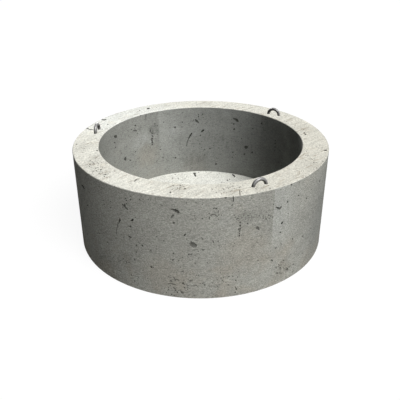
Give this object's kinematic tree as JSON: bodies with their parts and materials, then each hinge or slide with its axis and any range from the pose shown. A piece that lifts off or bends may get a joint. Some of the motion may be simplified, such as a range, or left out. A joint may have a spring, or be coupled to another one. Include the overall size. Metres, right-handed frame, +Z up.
{
  "type": "concrete culvert ring with base",
  "caption": "Round open-topped precast concrete well or culvert ring with a cast-in base and steel lifting loops on its rim, used as the bottom ring of a shaft.",
  "frame": {"origin": "centre of the underside of the base", "axes": "+Z up along the axis of the ring, towards its open top; -Y towards the viewer of the picture, +X to the right"},
  "size_m": [1.25, 1.2496, 0.544],
  "materials": {
    "concrete": "cast grey concrete with air holes, matt",
    "bar_steel": "plain round hot-rolled bar, dull grey"
  },
  "bodies": {
    "root": {"concrete_ring": "concrete", "lifting_loop_near": "bar_steel", "lifting_loop_far": "bar_steel", "lifting_loop_left": "bar_steel"}
  },
  "joints": []
}
